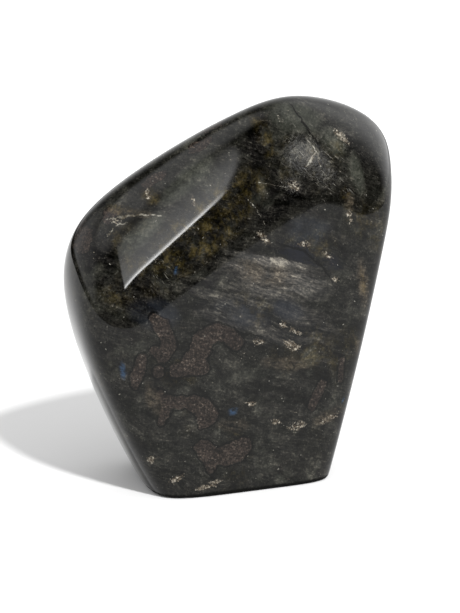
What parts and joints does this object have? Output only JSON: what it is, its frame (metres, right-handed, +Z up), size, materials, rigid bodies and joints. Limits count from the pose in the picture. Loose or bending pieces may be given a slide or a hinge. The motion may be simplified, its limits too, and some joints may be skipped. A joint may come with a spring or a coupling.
{
  "type": "polished labradorite freeform",
  "caption": "Dark polished labradorite freeform with softly ground faces, a slanting bevel over its left side and a flat cut base to stand on.",
  "frame": {"origin": "middle of the flat cut base, on the plane it stands on", "axes": "+Z up from the cut base, -Y out of the broad front face, +X to its right seen from the front"},
  "size_m": [0.0961, 0.0445, 0.1092],
  "materials": {
    "labradorite": "polished"
  },
  "bodies": {
    "root": {"labradorite": "labradorite"}
  },
  "joints": []
}
